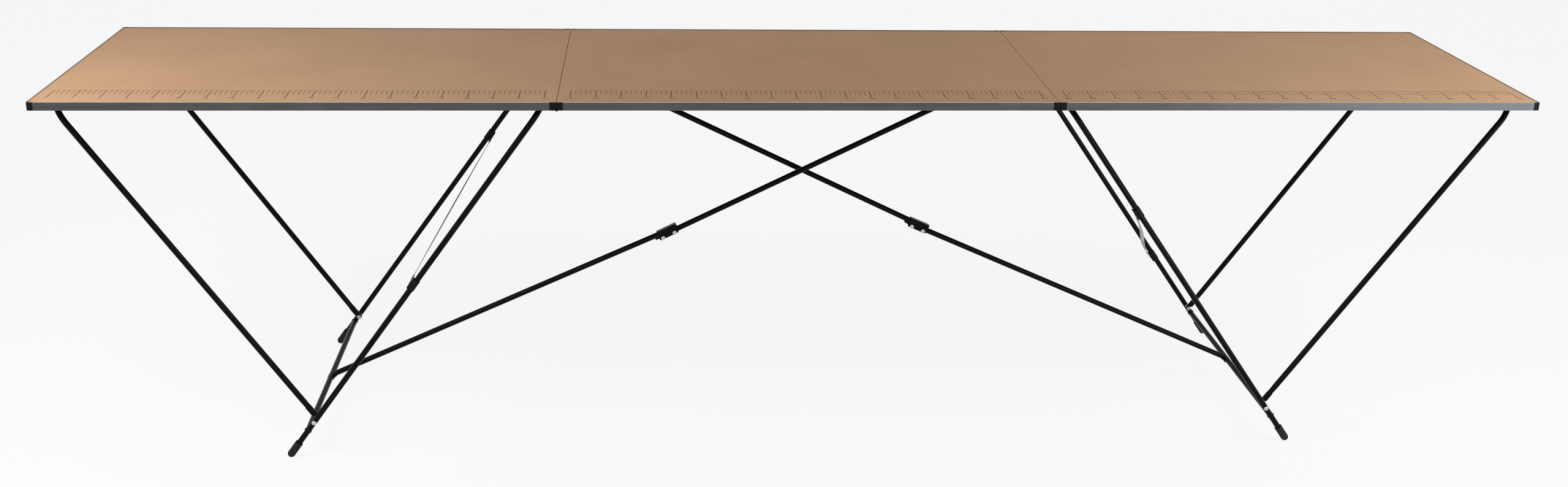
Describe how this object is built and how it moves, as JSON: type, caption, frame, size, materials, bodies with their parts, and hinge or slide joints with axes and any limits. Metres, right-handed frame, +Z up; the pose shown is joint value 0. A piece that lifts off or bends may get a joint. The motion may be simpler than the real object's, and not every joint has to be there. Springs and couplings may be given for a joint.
{
  "type": "folding trestle table",
  "caption": "Long folding pasting table: hinged hardboard panels in aluminium edging with a ruled front edge, on black tubular folding legs with hooked braces and crossing knee stays.",
  "frame": {"origin": "on the floor under the centre of the opened table", "axes": "+X along the table to the right of someone at its ruled front edge, +Y from that front edge to the rear, +Z up"},
  "size_m": [2.9996, 0.6, 0.775],
  "materials": {
    "hardboard": "matt brown hardboard with a fine fibre fleck",
    "edge_profile": "mill-finish extrusion",
    "black_plastic": "fine moulded grain",
    "zinc": "bright zinc plate",
    "black_tube": "glossy black powder coat",
    "foot_rubber": "dull black rubber",
    "strap_web": "grey woven web"
  },
  "bodies": {
    "middle_panel": {"middle_board": "hardboard", "middle_front_rail": "edge_profile", "middle_rear_rail": "edge_profile", "middle_left_end_rail": "edge_profile", "middle_right_end_rail": "edge_profile", "middle_corner_caps": "black_plastic", "middle_hinge_leaves": "zinc", "hinge_pins": "zinc", "stay_brackets": "zinc", "stay_pins": "zinc", "middle_rivets": "zinc"},
    "right_panel": {"right_board": "hardboard", "right_front_rail": "edge_profile", "right_rear_rail": "edge_profile", "right_inner_end_rail": "edge_profile", "right_outer_end_rail": "edge_profile", "right_corner_caps": "black_plastic", "right_hinge_leaves": "zinc", "right_leg_pivot_blocks": "black_plastic", "right_brace_saddles": "zinc", "right_rivets": "zinc"},
    "right_legs": {"right_leg_frame": "black_tube", "right_leg_crossbar": "black_tube", "right_foot_caps": "foot_rubber", "right_hook_studs": "zinc", "right_leg_strap": "strap_web", "right_strap_clips": "black_plastic"},
    "right_brace": {"right_brace_frame": "black_tube"},
    "right_stay_upper": {"right_stay_upper_tube": "black_tube", "right_knee_lug": "black_tube"},
    "right_stay_lower": {"right_stay_lower_tube": "black_tube", "right_knee_channel": "black_tube", "right_knee_bolts": "zinc", "right_knee_nuts": "zinc", "right_stay_clip": "black_plastic"},
    "left_panel": {"left_board": "hardboard", "left_front_rail": "edge_profile", "left_rear_rail": "edge_profile", "left_inner_end_rail": "edge_profile", "left_outer_end_rail": "edge_profile", "left_corner_caps": "black_plastic", "left_hinge_leaves": "zinc", "left_leg_pivot_blocks": "black_plastic", "left_brace_saddles": "zinc", "left_rivets": "zinc"},
    "left_legs": {"left_leg_frame": "black_tube", "left_leg_crossbar": "black_tube", "left_foot_caps": "foot_rubber", "left_hook_studs": "zinc", "left_leg_strap": "strap_web", "left_strap_clips": "black_plastic"},
    "left_brace": {"left_brace_frame": "black_tube"},
    "left_stay_upper": {"left_stay_upper_tube": "black_tube", "left_knee_channel": "black_tube", "left_knee_bolts": "zinc", "left_knee_nuts": "zinc"},
    "left_stay_lower": {"left_stay_lower_tube": "black_tube", "left_knee_lug": "black_tube", "left_stay_clip": "black_plastic"}
  },
  "joints": [
    {"name": "right_panel_fold", "type": "hinge", "parent": "middle_panel", "child": "right_panel", "pos_m": [0.5, 0, 0.7554], "axis": [0, 1, 0], "range_deg": [0, 90]},
    {"name": "right_leg_fold", "type": "hinge", "parent": "right_panel", "child": "right_legs", "pos_m": [0.534, 0, 0.749], "axis": [0, -1, 0], "range_deg": [0, 54.43], "deforming": ["right_leg_strap"]},
    {"name": "right_brace_fold", "type": "hinge", "parent": "right_panel", "child": "right_brace", "pos_m": [1.474, 0, 0.7623], "axis": [0, 1, 0], "range_deg": [0, 55.71]},
    {"name": "right_stay_fold", "type": "hinge", "parent": "middle_panel", "child": "right_stay_upper", "pos_m": [-0.455, 0.015, 0.758], "axis": [0, -1, 0], "range_deg": [0, 25.76]},
    {"name": "right_knee_turn", "type": "hinge", "parent": "right_stay_upper", "child": "right_stay_lower", "pos_m": [0.26494, 0.015, 0.39589], "axis": [0, 1, 0], "range_deg": [0, 181]},
    {"name": "left_panel_fold", "type": "hinge", "parent": "middle_panel", "child": "left_panel", "pos_m": [-0.5, 0, 0.7554], "axis": [0, -1, 0], "range_deg": [0, 90]},
    {"name": "left_leg_fold", "type": "hinge", "parent": "left_panel", "child": "left_legs", "pos_m": [-0.534, 0, 0.749], "axis": [0, 1, 0], "range_deg": [0, 54.43], "deforming": ["left_leg_strap"]},
    {"name": "left_brace_fold", "type": "hinge", "parent": "left_panel", "child": "left_brace", "pos_m": [-1.474, 0, 0.7623], "axis": [0, -1, 0], "range_deg": [0, 55.71]},
    {"name": "left_stay_fold", "type": "hinge", "parent": "middle_panel", "child": "left_stay_upper", "pos_m": [0.455, -0.015, 0.758], "axis": [0, 1, 0], "range_deg": [0, 25.93]},
    {"name": "left_knee_turn", "type": "hinge", "parent": "left_stay_upper", "child": "left_stay_lower", "pos_m": [-0.29024, -0.015, 0.38396], "axis": [0, -1, 0], "range_deg": [0, 181]}
  ],
  "couplings": [
    {"joint": "right_leg_fold", "follows": "right_panel_fold", "ratio": 0.60473},
    {"joint": "right_brace_fold", "follows": "right_panel_fold", "ratio": 0.61896},
    {"joint": "right_stay_fold", "follows": "right_panel_fold", "ratio": 0.28623},
    {"joint": "right_knee_turn", "follows": "right_panel_fold", "ratio": 2.0111},
    {"joint": "left_leg_fold", "follows": "left_panel_fold", "ratio": 0.60473},
    {"joint": "left_brace_fold", "follows": "left_panel_fold", "ratio": 0.61896},
    {"joint": "left_stay_fold", "follows": "left_panel_fold", "ratio": 0.28814},
    {"joint": "left_knee_turn", "follows": "left_panel_fold", "ratio": 2.0111}
  ]
}
